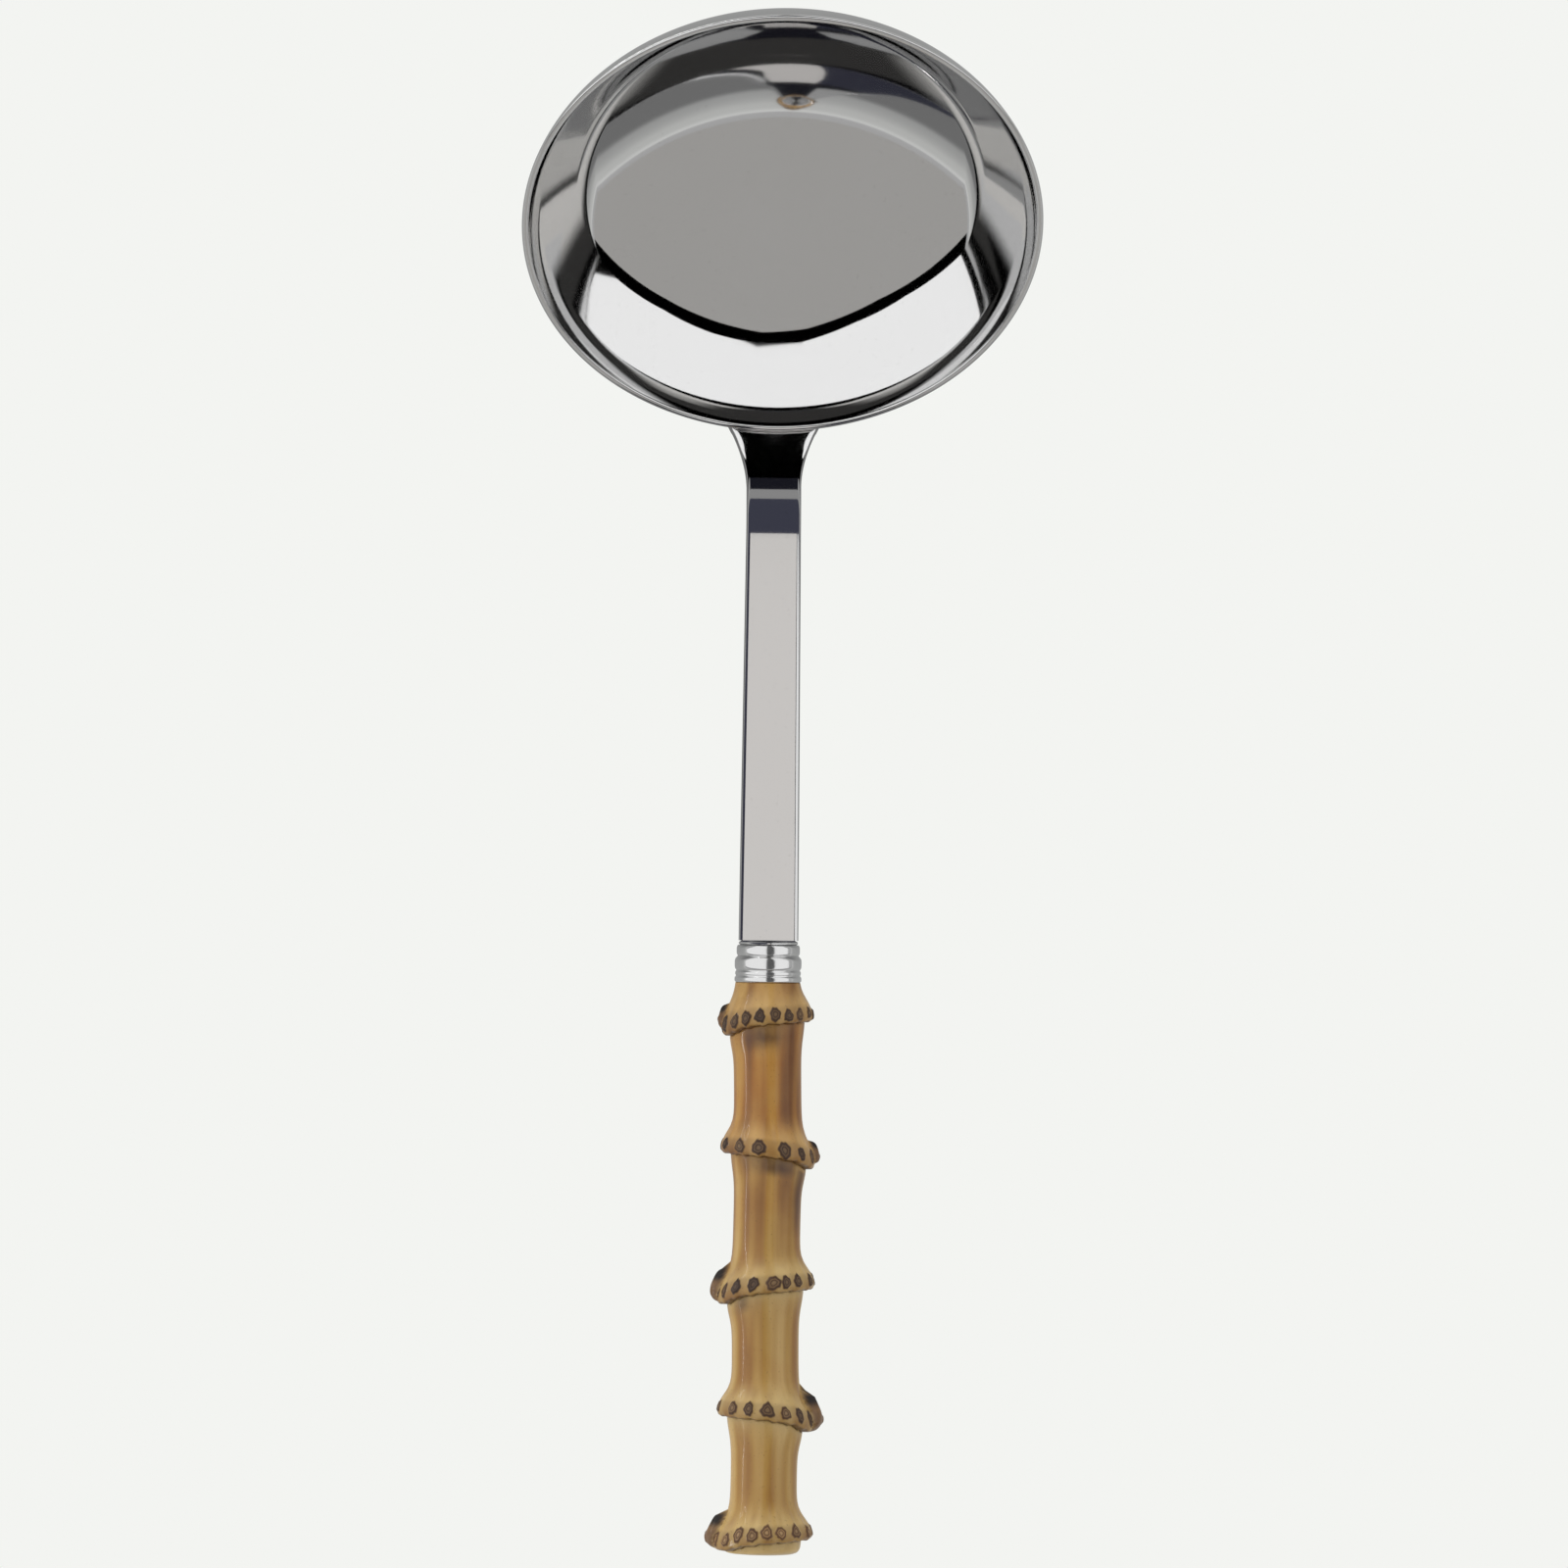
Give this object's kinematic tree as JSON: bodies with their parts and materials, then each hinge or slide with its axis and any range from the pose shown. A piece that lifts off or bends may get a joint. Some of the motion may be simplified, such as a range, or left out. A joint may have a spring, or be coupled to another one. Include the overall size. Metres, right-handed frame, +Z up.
{
  "type": "soup ladle",
  "caption": "Long-handled ladle with a round polished steel bowl, a flat fishtail stem, a beaded ferrule and a knotty bamboo root handle, for serving soup and punch",
  "frame": {"origin": "centre of the bounding box's bottom face, with the ladle lying on a table", "axes": "+Y along the ladle from the handle to the bowl, +Z up from the table to the side that the bowl's mouth faces, +X to the right of someone who looks from the handle to the bowl"},
  "size_m": [0.1, 0.2968, 0.0701],
  "materials": {
    "steel": "mirror polished stainless steel",
    "bamboo": "lacquered bamboo root",
    "resin": "set cutler's resin"
  },
  "bodies": {
    "root": {"bowl": "steel", "stem": "steel", "weld_fillet": "steel", "ferrule": "steel", "tang_cement": "resin", "handle": "bamboo"}
  },
  "joints": []
}
